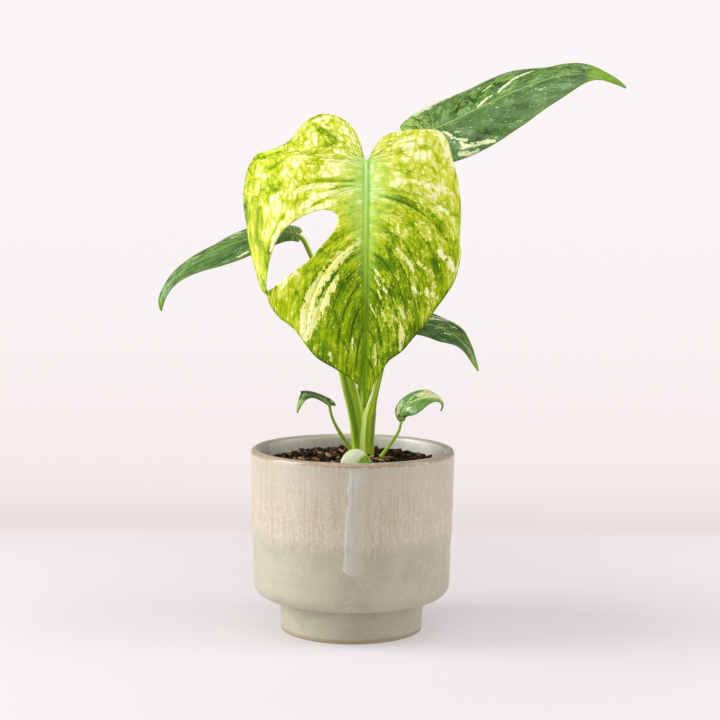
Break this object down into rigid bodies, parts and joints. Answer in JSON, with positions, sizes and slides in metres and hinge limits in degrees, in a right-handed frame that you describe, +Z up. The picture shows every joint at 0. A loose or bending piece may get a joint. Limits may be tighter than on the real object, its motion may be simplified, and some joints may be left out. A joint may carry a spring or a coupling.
{
  "type": "potted variegated monstera",
  "caption": "Young variegated monstera with a pierced heart-shaped leaf and dark side leaves, in a glazed stoneware pot on a stepped-in foot.",
  "frame": {"origin": "centre of the underside of the pot's foot", "axes": "+Z up along the pot's axis, -Y the side that the large heart-shaped leaf faces, +X to the right seen from there"},
  "size_m": [0.3191, 0.1466, 0.3905],
  "materials": {
    "glazed_stoneware": "satin",
    "bark_soil": "matte",
    "lime_leaf": "satin",
    "dark_leaf": "satin",
    "cream_leaf": "satin",
    "stalk": "satin"
  },
  "bodies": {
    "root": {"pot": "glazed_stoneware", "soil": "bark_soil", "main_leaf": "lime_leaf", "main_stalk": "stalk", "upper_leaf": "dark_leaf", "upper_stalk": "stalk", "left_leaf": "dark_leaf", "left_stalk": "stalk", "right_leaf": "dark_leaf", "right_stalk": "stalk", "small_left_leaf": "dark_leaf", "small_left_stalk": "stalk", "small_right_leaf": "cream_leaf", "small_right_stalk": "stalk", "base_leaf": "cream_leaf", "base_stalk": "stalk"}
  },
  "joints": []
}
